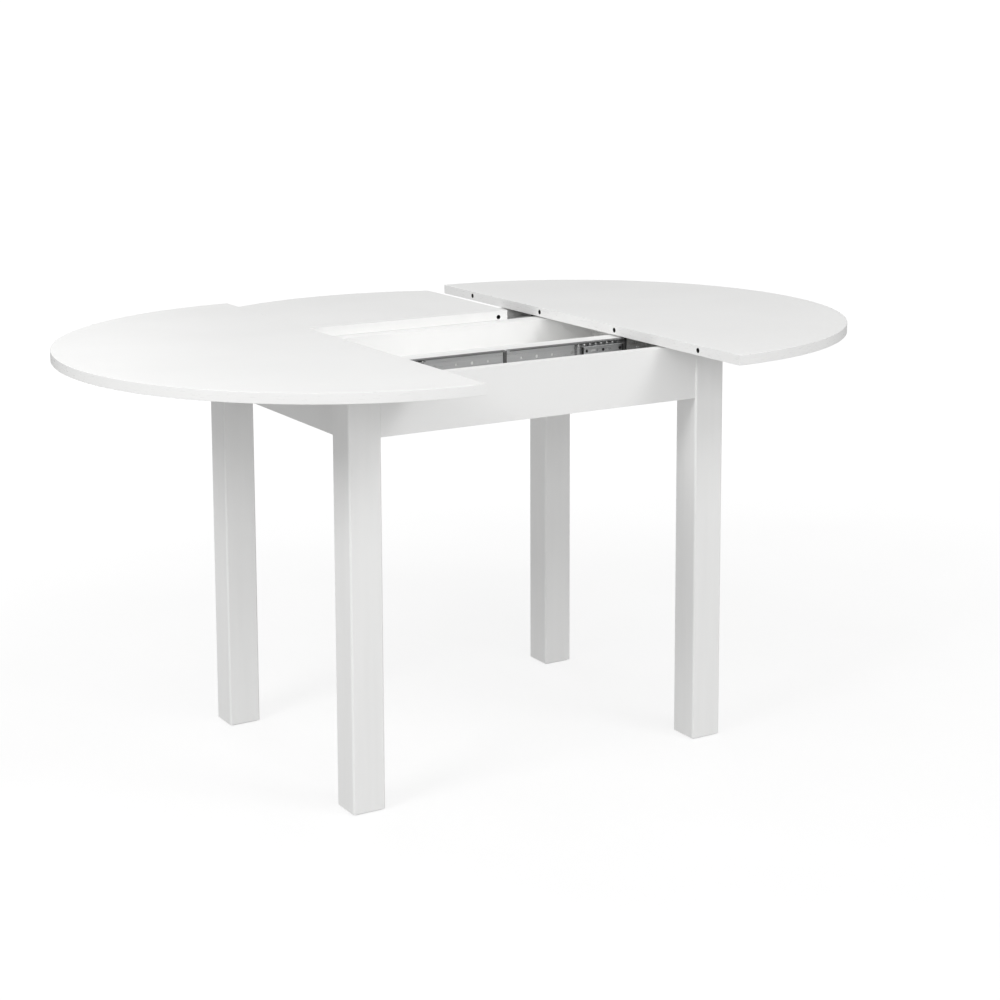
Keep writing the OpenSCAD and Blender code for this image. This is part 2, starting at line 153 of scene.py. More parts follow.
class Shader:
    """A material with its nodes, in object coordinates, which are metres in the part's own frame."""

    def __init__(self, name, roughness, metallic=0.0, specular=0.5):
        self.material = bpy.data.materials.new(name)
        self.material.use_nodes = True
        self.tree = self.material.node_tree
        self.surface = self.tree.nodes["Principled BSDF"]
        self.surface.inputs["Roughness"].default_value = roughness
        self.surface.inputs["Metallic"].default_value = metallic
        self.surface.inputs["Specular IOR Level"].default_value = specular
        self.where = self.tree.nodes.new("ShaderNodeTexCoord").outputs["Object"]

    def link(self, a, b):
        self.tree.links.new(a, b)

    def scaled(self, scale):
        mapping = self.tree.nodes.new("ShaderNodeMapping")
        mapping.inputs["Scale"].default_value = scale
        self.link(self.where, mapping.inputs["Vector"])
        return mapping.outputs["Vector"]

    def noise(self, scale, detail=3.0, roughness=0.5):
        """Noise with that many cells per metre along each axis."""
        node = self.tree.nodes.new("ShaderNodeTexNoise")
        node.inputs["Scale"].default_value = 1.0
        node.inputs["Detail"].default_value = detail
        node.inputs["Roughness"].default_value = roughness
        self.link(self.scaled(scale), node.inputs["Vector"])
        return node.outputs["Fac"]

    def color(self, value, low, high):
        node = self.tree.nodes.new("ShaderNodeValToRGB")
        first, last = node.color_ramp.elements
        first.position, last.position = NOISE_LOW, NOISE_HIGH
        first.color, last.color = (*low, 1), (*high, 1)
        self.link(value, node.inputs["Fac"])
        self.link(node.outputs["Color"], self.surface.inputs["Base Color"])

    def rough(self, value, low, high):
        node = self.tree.nodes.new("ShaderNodeMapRange")
        node.inputs["From Min"].default_value = NOISE_LOW
        node.inputs["From Max"].default_value = NOISE_HIGH
        node.inputs["To Min"].default_value, node.inputs["To Max"].default_value = low, high
        self.link(value, node.inputs["Value"])
        self.link(node.outputs["Result"], self.surface.inputs["Roughness"])

    def bump(self, value, depth, strength, under=None):
        """Bump as deep as that many metres; under is the bump it lies on."""
        node = self.tree.nodes.new("ShaderNodeBump")
        node.inputs["Distance"].default_value = depth
        node.inputs["Strength"].default_value = strength
        self.link(value, node.inputs["Height"])
        if under is not None:
            self.link(under, node.inputs["Normal"])
        self.link(node.outputs["Normal"], self.surface.inputs["Normal"])
        return node.outputs["Normal"]


def grey(level, tint=OFF_WHITE):
    return tuple(level * t for t in tint)


def melamine(name, tone=0.88, roughness=0.42):
    """Paper-faced white board: fine pearl texture and a very slight cloudiness."""
    s = Shader(name, roughness, specular=0.42)
    s.color(s.noise((5, 5, 5), 4), grey(tone - 0.012), grey(tone + 0.012))
    s.rough(s.noise((260, 260, 260), 2), roughness - 0.05, roughness + 0.07)
    pearl = s.bump(s.noise((1400, 1400, 1400), 2), 0.00003, 0.35)
    s.bump(s.noise((22, 22, 22), 2), 0.0002, 0.08, under=pearl)
    return s.material


def lacquer(name, tone=0.88):
    """Sprayed white lacquer over beech: pores and grain telegraph along the height."""
    s = Shader(name, 0.36, specular=0.5)
    s.color(s.noise((60, 60, 3), 5), grey(tone - 0.016), grey(tone + 0.010))
    s.rough(s.noise((120, 120, 120), 3), 0.31, 0.43)
    pores = s.bump(s.noise((700, 700, 14), 3, 0.6), 0.00006, 0.35)
    s.bump(s.noise((900, 900, 900), 1), 0.00002, 0.3, under=pores)
    return s.material


def edging(name, tone=0.88):
    """Extruded ABS band: smoother and a little glossier than the board, with faint scraper marks."""
    s = Shader(name, 0.3, specular=0.5)
    s.color(s.noise((9, 9, 9), 3), grey(tone - 0.010), grey(tone + 0.010))
    s.rough(s.noise((80, 80, 500), 2), 0.26, 0.36)
    s.bump(s.noise((30, 30, 1200), 2), 0.00002, 0.4)
    return s.material


def nylon(name, tone):
    """Moulded nylon, faintly translucent."""
    s = Shader(name, 0.45, specular=0.45)
    s.surface.inputs["Subsurface Weight"].default_value = 0.15
    s.surface.inputs["Subsurface Radius"].default_value = (0.002, 0.002, 0.002)
    s.color(s.noise((90, 90, 90), 3), grey(tone - 0.03), grey(tone + 0.02))
    s.rough(s.noise((300, 300, 300), 2), 0.38, 0.52)
    s.bump(s.noise((800, 800, 800), 2), 0.00004, 0.5)
    return s.material


def rolled_steel(name, dark, light, roughness):
    """Zinc-plated strip: streaks along the rolling direction, X, and a mottled plate."""
    s = Shader(name, roughness, metallic=0.8)
    s.color(s.noise((10, 900, 900), 3), grey(dark, ROLLED_DARK), grey(light, ROLLED_LIGHT))
    s.rough(s.noise((14, 600, 600), 3), roughness - 0.08, roughness + 0.10)
    streaks = s.bump(s.noise((12, 1600, 1600), 2), 0.00001, 0.2)
    s.bump(s.noise((240, 240, 240), 3), 0.00001, 0.15, under=streaks)
    return s.material


def plated_steel(name, dark, light, roughness=0.3):
    """Zinc-plated pressing or fastener: fine blotches with no direction."""
    s = Shader(name, roughness, metallic=1.0)
    s.color(s.noise((190, 190, 190), 4), grey(dark, PLATED_DARK), grey(light, PLATED_LIGHT))
    s.rough(s.noise((420, 420, 420), 3), roughness - 0.07, roughness + 0.12)
    s.bump(s.noise((900, 900, 900), 2), 0.00004, 0.4)
    return s.material


def black_finish(name, tone, roughness, metallic=0.0):
    """Blackened metal or moulded black plastic, slightly mottled."""
    s = Shader(name, roughness, metallic=metallic)
    s.color(s.noise((150, 150, 150), 3), grey(tone * 0.8), grey(tone * 1.3))
    s.rough(s.noise((500, 500, 500), 2), roughness - 0.08, roughness + 0.1)
    s.bump(s.noise((1100, 1100, 1100), 2), 0.00005, 0.5)
    return s.material


def beech(name):
    """Fluted beech dowel, seen only inside the joints."""
    s = Shader(name, 0.6, specular=0.3)
    s.color(s.noise((40, 900, 900), 4), (0.46, 0.30, 0.15), (0.62, 0.44, 0.26))
    s.rough(s.noise((200, 900, 900), 2), 0.52, 0.7)
    s.bump(s.noise((30, 1400, 1400), 2), 0.0001, 0.6)
    return s.material


MATERIALS = {
    "leg_lacquer": lacquer("leg_lacquer"),
    "frame_lacquer": melamine("frame_lacquer", 0.88, 0.40),
    "top_board": melamine("top_board", 0.88, 0.42),
    "tray_board": melamine("tray_board", 0.90, 0.46),
    "edge_band": edging("edge_band", 0.88),
    "glide_plastic": nylon("glide_plastic", 0.66),
    "pin_plastic": nylon("pin_plastic", 0.72),
    "buffer_plastic": black_finish("buffer_plastic", 0.022, 0.45),
    "black_rivet": black_finish("black_rivet", 0.035, 0.35, metallic=0.6),
    "slide_steel": rolled_steel("slide_steel", 0.61, 0.71, 0.34),
    "cage_steel": rolled_steel("cage_steel", 0.24, 0.34, 0.3),
    "plate_steel": plated_steel("plate_steel", 0.50, 0.62),
    "screw_steel": plated_steel("screw_steel", 0.55, 0.68, 0.26),
    "dowel_wood": beech("dowel_wood"),
}
FLANGE_SHADE_STEEL = rolled_steel("slide_flange_painted_shade", 0.17, 0.25, 0.36)      # darker steel on the flanges and lips: painted shade for the shade inside the channel
BALL_STEEL = plated_steel("ball_steel", 0.84, 0.92, 0.14)
# dark grey for the buffers in the joint between the channels: painted shade for the shaded gap there
CHANNEL_JOINT_SHADE = black_finish("channel_joint_painted_shade", 0.09, 0.55)

FLOOR_HALF = 3.8                            # metres from the middle to each side
FLOOR_TONE = 0.24
FLOOR_LIGHT = 0.34                          # glow that lights the table
FLOOR_GLOW, FLOOR_EDGE_GLOW = 0.74, 0.86    # glow that the camera sees, near and far
GLOW_FROM, GLOW_TO = 1.0, 3.2               # metres over which it rises


def make_floor():
    """A pale painted studio floor, close to white for the camera, so the shadow stays faint."""
    bm = bmesh.new()
    bmesh.ops.create_grid(bm, x_segments=4, y_segments=4, size=FLOOR_HALF)
    mesh = bpy.data.meshes.new("studio_floor")
    bm.to_mesh(mesh)
    bm.free()
    floor = bpy.data.objects.new("studio_floor", mesh)
    scene.collection.objects.link(floor)
    s = Shader("studio_floor", 0.7, specular=0.2)
    s.color(s.noise((3, 3, 3), 3), grey(FLOOR_TONE - 0.006, WHITE), grey(FLOOR_TONE + 0.006, WHITE))
    s.bump(s.noise((300, 300, 300), 2), 0.00005, 0.3)
    s.surface.inputs["Emission Color"].default_value = (*WHITE, 1)
    reach = s.tree.nodes.new("ShaderNodeVectorMath")
    reach.operation = "LENGTH"
    glow = s.tree.nodes.new("ShaderNodeMapRange")
    glow.inputs["From Min"].default_value = GLOW_FROM
    glow.inputs["From Max"].default_value = GLOW_TO
    glow.inputs["To Min"].default_value = FLOOR_GLOW
    glow.inputs["To Max"].default_value = FLOOR_EDGE_GLOW
    s.link(s.where, reach.inputs[0])
    s.link(reach.outputs["Value"], glow.inputs["Value"])
    seen = s.tree.nodes.new("ShaderNodeMapRange")
    seen.inputs["To Min"].default_value = FLOOR_LIGHT
    path = s.tree.nodes.new("ShaderNodeLightPath")
    s.link(path.outputs["Is Camera Ray"], seen.inputs["Value"])
    s.link(glow.outputs["Result"], seen.inputs["To Max"])
    s.link(seen.outputs["Result"], s.surface.inputs["Emission Strength"])
    mesh.materials.append(s.material)


make_floor()


# ---------------------------------------------------------------- mesh helpers

SMOOTH_BELOW = math.radians(38)       # faces that meet at less than this are shaded as one
SHARP_ABOVE = math.radians(28)        # edges that turn more than this are eased
FLAT_WITHIN = math.radians(0.4)       # faces this close to one plane are joined
WELD = 2e-6                           # metres


def finish_piece(name, bm, body, slot, replaces=(), materials=None):
    """Turns a bmesh in the part's frame into a piece: shading, material (the slot's, unless given), body,
    and hides the CAD nodes it stands for.
    """
    bm.normal_update()
    for f in bm.faces:
        f.smooth = True
    for e in bm.edges:
        e.smooth = len(e.link_faces) == 2 and e.calc_face_angle(0.0) < SMOOTH_BELOW
    mesh = bpy.data.meshes.new(name)
    bm.to_mesh(mesh)
    bm.free()
    for m in materials or [MATERIALS[slot]]:
        mesh.materials.append(m)
    piece = bpy.data.objects.new(name, mesh)
    scene.collection.objects.link(piece)
    even = piece.modifiers.new("even_normals", "WEIGHTED_NORMAL")
    even.keep_sharp = True
    even.weight = 90
    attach(piece, body)
    if replaces:
        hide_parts(*replaces)


def cad_mesh(node):
    """A clean copy of a CAD node's mesh: welded, with its flat faces whole."""
    bm = bmesh.new()
    bm.from_mesh(frame["nodes"][node].data)
    for f in bm.faces:
        f.material_index = 0
    bmesh.ops.remove_doubles(bm, verts=bm.verts, dist=WELD)
    bmesh.ops.dissolve_limit(bm, angle_limit=FLAT_WITHIN, verts=bm.verts, edges=bm.edges)
    return bm


def ease(bm, width, segments=3, keep=None):
    """Rounds the sharp edges, as a routed or scraped edge is. keep picks them by their middles."""
    edges = [e for e in bm.edges
             if len(e.link_faces) == 2 and e.calc_face_angle(0.0) > SHARP_ABOVE
             and (keep is None or keep((e.verts[0].co + e.verts[1].co) / 2))]
    if edges:
        bmesh.ops.bevel(bm, geom=edges, offset=width, segments=segments, profile=0.5,
                        affect="EDGES", clamp_overlap=True)


def eased_copy(node, width, segments=3, material=None, keep=None):
    """Piece that stands for a CAD node: its mesh, with the sharp edges rounded."""
    bm = cad_mesh(node)
    ease(bm, width, segments, keep)
    finish_piece(node + "_finish", bm, BODY_OF[node], SLOT_OF[node], [node],
                 [material] if material else None)


# ---------------------------------------------------------------- boards, legs and tray

# Edge radius in millimetres, and the nodes that have it.
EASINGS = (
    (0.8, ("leg_front_left", "leg_front_right", "leg_back_left", "leg_back_right")),
    (0.6, ("foot_glides",)),
    (0.5, ("apron_front", "apron_back", "apron_left", "apron_right")),
    (0.4, ("slide_rail_front", "slide_rail_back", "tray_side_front", "tray_side_back",
           "tray_bottom", "leaf_ledge_front", "leaf_ledge_back", "leaf_middle", "leaf_front")),
    (0.5, ("end_buffers_left", "end_buffers_right")),
)
BAND_EASING = 0.7 * MM
BAND_REACH, SEAM_REACH, FACE_REACH = 0.4 * MM, 0.2 * MM, 0.1 * MM   # how near counts as on it

for easing, nodes in EASINGS:
    for node in nodes:
        eased_copy(node, easing * MM)
# the buffers in the channels' joint take the dark grey: painted shade for the shaded gap
eased_copy("channel_buffers", 0.6 * MM, material=CHANNEL_JOINT_SHADE)
eased_copy("corner_plates", 0.35 * MM, 2)


def banding(band, on_outline):
    """Edge banding. Only its outer edges are rounded, so its joint to the board stays a hairline."""
    low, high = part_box(band)

    def rim(p):
        return on_outline(p) and (p.z < low.z + FACE_REACH or p.z > high.z - FACE_REACH)

    eased_copy(band, BAND_EASING, keep=rim)


def half_top(side):
    low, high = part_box("edge_band_" + side)
    seam = low.x if side == "right" else high.x
    banding("edge_band_" + side, lambda p: math.hypot(p.x - seam, p.y) > high.y - BAND_REACH
            or abs(p.x - seam) < SEAM_REACH)
    eased_copy("top_" + side, 0.12 * MM, 1)


def back_leaf():
    low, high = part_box("leaf_back_band")
    middle = (low.x + high.x) / 2
    banding("leaf_back_band", lambda p: math.hypot(p.x - middle, p.y) > high.y - BAND_REACH)
    eased_copy("leaf_back", 0.3 * MM, 2)


half_top("left")
half_top("right")
back_leaf()


# ---------------------------------------------------------------- slides, screws and fittings


def fillet(corners, steps=4):
    """Closed outline through (u, v, radius) corners in millimetres, each rounded to its radius."""
    points = []
    for i, (u, v, radius) in enumerate(corners):
        here = Vector((u, v))
        back = (Vector(corners[i - 1][:2]) - here).normalized()
        on = (Vector(corners[(i + 1) % len(corners)][:2]) - here).normalized()
        if not radius:
            points.append(here)
            continue
        half = back.angle(on) / 2
        centre = here + (back + on).normalized() * (radius / math.sin(half))
        start = here + back * (radius / math.tan(half)) - centre
        end = here + on * (radius / math.tan(half)) - centre
        for k in range(steps + 1):
            points.append(centre + start.lerp(end, k / steps).normalized() * radius)
    return points


def prism(outline, start, end, axis="x"):
    """Solid with that outline in millimetres: (u, v) is (y, z) along X and (x, z) along Y."""
    bm = bmesh.new()
    if axis == "x":
        rings = [[bm.verts.new(Vector((t, u, v)) * MM) for u, v in outline] for t in (start, end)]
    else:
        rings = [[bm.verts.new(Vector((u, t, v)) * MM) for u, v in outline] for t in (start, end)]
    n = len(outline)
    for i in range(n):
        bm.faces.new((rings[0][i], rings[0][(i + 1) % n], rings[1][(i + 1) % n], rings[1][i]))
    bm.faces.new(rings[0])
    bm.faces.new(rings[1])
    bmesh.ops.recalc_face_normals(bm, faces=bm.faces)
    return bm


def lathe(profile, steps=32, flutes=0.0):
    """Solid of revolution about +Z through (radius, height) points in millimetres.

    A profile that starts and ends at radius 0 is closed. flutes is the depth of lengthwise grooves.
    """
    bm = bmesh.new()
    rings = []
    for radius, height in profile:
        if radius < 1e-6:
            rings.append([bm.verts.new((0, 0, height * MM))])
            continue
        ring = []
        for k in range(steps):
            r = (radius - (flutes if k % 4 in (0, 1) else 0.0)) * MM
            ring.append(bm.verts.new((r * math.cos(math.tau * k / steps),
                                      r * math.sin(math.tau * k / steps), height * MM)))
        rings.append(ring)
    for low, high in zip(rings, rings[1:]):
        for k in range(steps):
            corners = list(dict.fromkeys((low[k % len(low)], low[(k + 1) % len(low)],
                                          high[(k + 1) % len(high)], high[k % len(high)])))
            if len(corners) > 2:
                bm.faces.new(corners)
    bmesh.ops.recalc_face_normals(bm, faces=bm.faces)
    return bm


def rod(radius, start, end, steps=24, end_radius=None):
    """Cutter along +Z from start to end, in millimetres."""
    last = radius if end_radius is None else end_radius
    return lathe([(0, start), (radius, start), (last, end), (0, end)], steps)


def block(low, high):
    """Box between two corners in millimetres."""
    bm = bmesh.new()
    bmesh.ops.create_cube(bm, size=1.0)
    for v in bm.verts:
        v.co = Vector([(a + (b - a) * (c + 0.5)) * MM for a, b, c in zip(low, high, v.co)])
    return bm


def moved(bm, matrix):
    """The same bmesh, transformed; a mirrored one gets its faces turned back outwards."""
    bm.transform(matrix)
    if matrix.determinant() < 0:
        bmesh.ops.reverse_faces(bm, faces=bm.faces)
    return bm


def at(x, y, z, turn=None):
    """Matrix that turns, then moves to (x, y, z) millimetres."""
    return Matrix.Translation(Vector((x, y, z)) * MM) @ (turn or Matrix.Identity(4))


ALONG_X = Matrix.Rotation(math.radians(90), 4, "Y")      # +Z to +X
ALONG_Y = Matrix.Rotation(math.radians(-90), 4, "X")     # +Z to +Y


def merge(parts, index=None):
    """One bmesh from several, which are used up. index gives every face that material."""
    whole = bmesh.new()
    for part in parts:
        if index is not None:
            for f in part.faces:
                f.material_index = index
        scratch = bpy.data.meshes.new("scratch")
        part.to_mesh(scratch)
        part.free()
        whole.from_mesh(scratch)
        bpy.data.meshes.remove(scratch)
    return whole


def boolean(body, tools, operation="DIFFERENCE"):
    """body cut by (or kept inside) each tool; all of them are used up."""
    made = []
    for bm in (body, merge(tools)):
        mesh = bpy.data.meshes.new("scratch")
        bm.to_mesh(mesh)
        bm.free()
        obj = bpy.data.objects.new("scratch", mesh)
        scene.collection.objects.link(obj)
        made.append(obj)
    cut = made[0].modifiers.new("cut", "BOOLEAN")
    cut.operation, cut.solver, cut.object = operation, "EXACT", made[1]
    cut.use_self = True
    evaluated = made[0].evaluated_get(bpy.context.evaluated_depsgraph_get())
    result = bpy.data.meshes.new_from_object(evaluated)
    whole = bmesh.new()
    whole.from_mesh(result)
    bpy.data.meshes.remove(result)
    for obj in made:
        mesh = obj.data
        bpy.data.objects.remove(obj)
        bpy.data.meshes.remove(mesh)
    bmesh.ops.remove_doubles(whole, verts=whole.verts, dist=1e-6)
    return whole


# Slide space: x from the table's middle, y out from the rail, z from the slide's centre line.
RAIL_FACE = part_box("slide_rail_back")[1].y / MM
SLIDE_LOW, SLIDE_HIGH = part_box("channel_back_right")
SLIDE_MID = (SLIDE_LOW.z + SLIDE_HIGH.z) / 2 / MM
SLIDE_HALF = (SLIDE_HIGH.z - SLIDE_LOW.z) / 2 / MM
CHANNEL_DEPTH = (SLIDE_HIGH.y - SLIDE_LOW.y) / MM
STEEL = 1.2          # thickness of the strip, in millimetres
SIDES = {"front": -1, "back": 1}
ENDS = {"left": -1, "right": 1}


def on_slide(bm, end, side):
    """Moves a bmesh from slide space to one of the four slides."""
    mirror = Matrix.Diagonal((end, side, 1, 1))
    return moved(bm, mirror @ Matrix.Translation((0, RAIL_FACE * MM, SLIDE_MID * MM)))


def stadium(x, length, width):
    """Outline of a slot with round ends, in millimetres."""
    r = width / 2
    reach = (length - width) / 2
    turn = [math.radians(-90 + 15 * k) for k in range(13)]
    right = [(x + reach + r * math.cos(a), r * math.sin(a)) for a in turn]
    left = [(x - reach - r * math.cos(a), -r * math.sin(a)) for a in turn]
    return right + left


def slot_tool(x, length, y0, y1):
    return prism(stadium(x, length, SLOT_WIDTH), y0, y1, "y")


def hole_tool(x, z, radius, y0, y1, end_radius=None):
    return moved(rod(radius, y0, y1, 24, end_radius), at(x, 0, z, ALONG_Y))


def c_section(u0, u1, half, t, outer, lip=0.0):
    """C-shaped strip: web at u0, flanges out to u1, and an optional lip turned in at their ends."""
    r = 0.4
    side = [(u0, half, outer), (u1, half, r)]
    if lip:
        side += [(u1, half - t - lip, r / 2), (u1 - t, half - t - lip, r / 2), (u1 - t, half - t, r)]
    else:
        side += [(u1, half - t, r / 3)]
    inner = u0 + (t if u1 > u0 else -t)
    side += [(inner, half - t, r)]
    return side + [(u, -v, radius) for u, v, radius in reversed(side)]


SLOT_WIDTH = 5
CHANNEL_HOLES = ((34, 2.25), (66, 3.0), (98, 2.25))      # place and radius
CHANNEL_SLOTS = ((183, 17), (213, 9))                    # place and length
CHANNEL_SCREWS = (140, 232)
LUG_LENGTH, LUG_HEIGHT, LUG_LEVELS = 3, 1.5, (-10.5, 9.0)
FLANGE_SHADE_REACH = 3                                          # how far in from each flange's outside the faces get the painted shade


def channel():
    """Outer slide member: punched strip with stop lugs at both ends; its flanges and lips get a darker
    steel, painted shade for the shade inside the channel.
    """
    x0, x1 = SLIDE_LOW.x / MM, SLIDE_HIGH.x / MM
    body = prism(fillet(c_section(0, CHANNEL_DEPTH, SLIDE_HALF, STEEL, 1.5, 1.1)), x0, x1)
    tools = [hole_tool(x, 0, r, -1, STEEL + 1) for x, r in CHANNEL_HOLES]
    tools += [slot_tool(x, length, -1, STEEL + 1) for x, length in CHANNEL_SLOTS]
    tools += [hole_tool(x, 0, 1.6, -0.1, STEEL + 0.1, 3.6) for x in CHANNEL_SCREWS]
    body = boolean(body, tools)
    lugs = []
    for x in (x0 + 1.2, x1 - 4.2):
        for z in LUG_LEVELS:
            lug = block((x, STEEL - 0.2, z), (x + LUG_LENGTH, STEEL + 1.1, z + LUG_HEIGHT))
            ease(lug, 0.3 * MM, 2)
            lugs.append(lug)
    made = merge([body, *lugs])
    for f in made.faces:
        # faces near the top and bottom, the flanges and lips, get the darker steel: painted shade
        f.material_index = int(abs(f.calc_center_median().z) > (SLIDE_HALF - FLANGE_SHADE_REACH) * MM)
    return made


def place_channels():
    made = channel()
    for end, sx in ENDS.items():
        for side, sy in SIDES.items():
            node = f"channel_{side}_{end}"
            finish_piece(node + "_profile", on_slide(made.copy(), sx, sy), "frame", "slide_steel",
                         [node], [MATERIALS["slide_steel"], FLANGE_SHADE_STEEL])
    made.free()


def half_height(node):
    low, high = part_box(node)
    return (high.z - low.z) / 2 / MM


def along_slide(node):
    """Where a node of one end starts and stops, outwards from the table's middle, in millimetres."""
    low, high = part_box(node)
    return sorted((abs(low.x) / MM, abs(high.x) / MM))


MEMBER_WEB = 2.8                                 # from the rail to the middle member's web
MEMBER_HALF, INNER_HALF = half_height("middle_member_back_right"), half_height("inner_members_right")
MEMBER_RIVETS = (12, 47, 83)                     # from the member's end
MEMBER_SLOTS = ((29, 17), (59, 9))               # place and length
ANGLE_RIVETS, ANGLE_SCREWS = (30, 125, 220), (60, 165, 262)      # from the half top's seam


def place_members():
    """Middle members, each with its black rivets and end strip."""
    for end, sx in ENDS.items():
        x0, x1 = along_slide(f"middle_member_back_{end}")
        body = prism(fillet(c_section(MEMBER_WEB, CHANNEL_DEPTH - 0.4, MEMBER_HALF, STEEL, 1.3)), x0, x1)
        tools = [slot_tool(x0 + x, length, 1, 6) for x, length in MEMBER_SLOTS]
        tools += [hole_tool(x0 + x, 0, 2.0, 1, 6) for x in MEMBER_RIVETS]
        body = boolean(body, tools)
        rivet = [(0, 0.0), (1.95, 0.0), (1.95, STEEL), (2.75, STEEL), (2.7, STEEL + 0.2),
                 (2.2, STEEL + 0.38), (1.2, STEEL + 0.4), (1.0, STEEL + 0.25), (0, STEEL + 0.2)]
        face, reach = MEMBER_WEB + STEEL, MEMBER_HALF - 1.6
        strip = block((x0, face, -reach), (x0 + 5, face + 1.2, reach))
        ease(strip, 0.4 * MM, 2)
        rivets = merge([strip] + [moved(lathe(rivet, 28), at(x0 + x, MEMBER_WEB, 0, ALONG_Y))
                                  for x in MEMBER_RIVETS])
        stops = []
        for side, sy in SIDES.items():
            node = f"middle_member_{side}_{end}"
            finish_piece(node + "_profile", on_slide(body.copy(), sx, sy), f"{end}_middle_members",
                         "slide_steel", [node])
            stops.append(on_slide(rivets.copy(), sx, sy))
        finish_piece(f"member_stops_{end}_rivets", merge(stops), f"{end}_middle_members", "black_rivet",
                     [f"member_stops_{end}"])
        body.free()
        rivets.free()


def place_inner_members():
    for end, sx in ENDS.items():
        x0, x1 = along_slide(f"inner_members_{end}")
        seam = x0 - 5
        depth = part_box(f"inner_members_{end}")[1].y / MM - RAIL_FACE
        body = prism(fillet(c_section(depth, 5.6, INNER_HALF, STEEL, 1.1)), x0, x1)
        body = boolean(body, [hole_tool(seam + x, 0, 2.25, 5, depth + 1) for x in ANGLE_RIVETS])
        finish_piece(f"inner_members_{end}_profile",
                     merge([on_slide(body.copy(), sx, sy) for sy in SIDES.values()]),
                     f"{end}_top", "slide_steel", [f"inner_members_{end}"])
        body.free()


BALL_RADIUS, SMALL_BALL_RADIUS, BALL_PITCH = 3.0, 1.2, 12
CAGE_STRIP, CAGE_END = 0.6, 5         # thickness of the strip, and its end before the first ball
POCKET_PLAY, BALL_PLAY = 0.08, 0.3    # clearance of a ball in its pocket, and to the race


def ball_cage(x0, x1, v, u0, u1, radius):
    """Punched retainer strip with a ball in each pocket."""
    body = prism(fillet(c_section(u0, u1, v + CAGE_STRIP / 2, CAGE_STRIP, 0.5)), x0, x1)
    ball_u = (u0 + u1) / 2 + 0.4
    count = int((x1 - x0 - 8) // BALL_PITCH) + 1
    balls_x = [x0 + CAGE_END + BALL_PITCH * i for i in range(count)]
    w0, w1, reach = x0 + CAGE_END, x1 - CAGE_END, v - 1.2
    window = fillet([(w0, -reach, 1), (w1, -reach, 1), (w1, reach, 1), (w0, reach, 1)])
    tools = [prism(window, u0 - 1, u0 + CAGE_STRIP + 0.4, "y")]
    tools += [moved(rod(radius + POCKET_PLAY, -v - 2, v + 2), at(x, ball_u, 0)) for x in balls_x]
    body = merge([boolean(body, tools)], 0)
    balls = []
    for x in balls_x:
        for z in (-v, v):
            ball = bmesh.new()
            bmesh.ops.create_uvsphere(ball, u_segments=24, v_segments=16, radius=radius * MM)
            balls.append(moved(ball, at(x, ball_u, z)))
    return merge([body, merge(balls, 1)])


def place_cages():
    for end, sx in ENDS.items():
        outer, inner = f"{end}_ball_cages", f"{end}_inner_cages"
        for node, body, half, u0, u1, radius in (
                (f"ball_cages_{end}", outer, MEMBER_HALF, 1.6, 9.8, BALL_RADIUS),
                (f"inner_cages_{end}", inner, INNER_HALF, 4.5, 10.5, SMALL_BALL_RADIUS)):
            x0, x1 = along_slide(node)
            made = ball_cage(x0, x1, half + BALL_PLAY + radius, u0, u1, radius)
            pair = merge([on_slide(made.copy(), sx, sy) for sy in SIDES.values()])
            finish_piece(node + "_retainers", pair, body, "cage_steel", [node],
                         [MATERIALS["cage_steel"], BALL_STEEL])
            made.free()


def cross_recess(width, reach, top, depth):
    """Cutters for a cross-head recess that narrows as it goes down."""
    arms = []
    for turn in (0, 90):
        arm = block((-reach, -width / 2, top - depth), (reach, width / 2, top + 0.5))
        for v in arm.verts:
            if v.co.z < top * MM - 1e-6:
                v.co.x *= 0.35
                v.co.y *= 0.6
        arms.append(moved(arm, Matrix.Rotation(math.radians(turn), 4, "Z")))
    return arms


def pan_screw(head, rise, shank, length):
    """Cross-head screw: seat at z = 0, head up, point down."""
    r, s = head / 2, shank / 2
    body = lathe([(0, -length), (s * 0.35, -length + s), (s, -length + 3 * s), (s, 0), (r, 0),
                  (r, rise * 0.25), (r * 0.93, rise * 0.6), (r * 0.72, rise * 0.88),
                  (r * 0.4, rise), (0, rise)])
    return boolean(body, cross_recess(r * 0.30, r * 0.62, rise, rise * 0.75))


def flat_screw(head, shank, length):
    """Countersunk cross-head screw with its flat face at z = 0."""
    r, s = head / 2, shank / 2
    body = lathe([(0, -length), (s * 0.35, -length + s), (s, -length + 3 * s), (s, s - r),
                  (r, -0.15), (r - 0.1, 0), (0, 0)])
    return boolean(body, cross_recess(r * 0.30, r * 0.62, 0, 0.9))


PLATE, PLATE_GAP = 2.0, 4             # corner plate's thickness, and its gap to the leg, in millimetres
THREAD_TURNS, THREAD_PITCH = 20, 0.75


def hanger_bolt():
    """Bolt from the leg's corner outwards: machine thread for the nut, then a plain shank in the wood."""
    thread = [(0, -16.0), (3.2, -16.0), (3.9, -15.2)]
    for k in range(THREAD_TURNS):
        thread += [(3.9, -15.0 + k * THREAD_PITCH), (3.45, -14.7 + k * THREAD_PITCH)]
    return lathe(thread + [(3.95, 1.0), (3.95, 38.5), (2.5, 40.0), (0, 40.0)], 28)


def hanger_nut(seat):
    """Flanged hexagon nut that sits on the plate at that height along the bolt."""
    hexagon = lathe([(0, seat - 8.1), (7.5, seat - 8.1), (7.5, seat - 1.6), (0, seat - 1.6)], 6)
    dome = lathe([(0, seat - 8.1), (6.4, seat - 8.1), (7.7, seat - 7.3), (7.7, seat - 1.0),
                  (0, seat - 1.0)], 40)
    washer = lathe([(0, seat - 2.1), (6.6, seat - 2.1), (7.8, seat - 1.1), (8.0, seat - 0.7),
                    (8.0, seat), (0, seat)], 40)
    nut = boolean(boolean(hexagon, [dome], "INTERSECT"), [washer], "UNION")
    return boolean(nut, [rod(4.0, seat - 10, seat + 1, 32)])


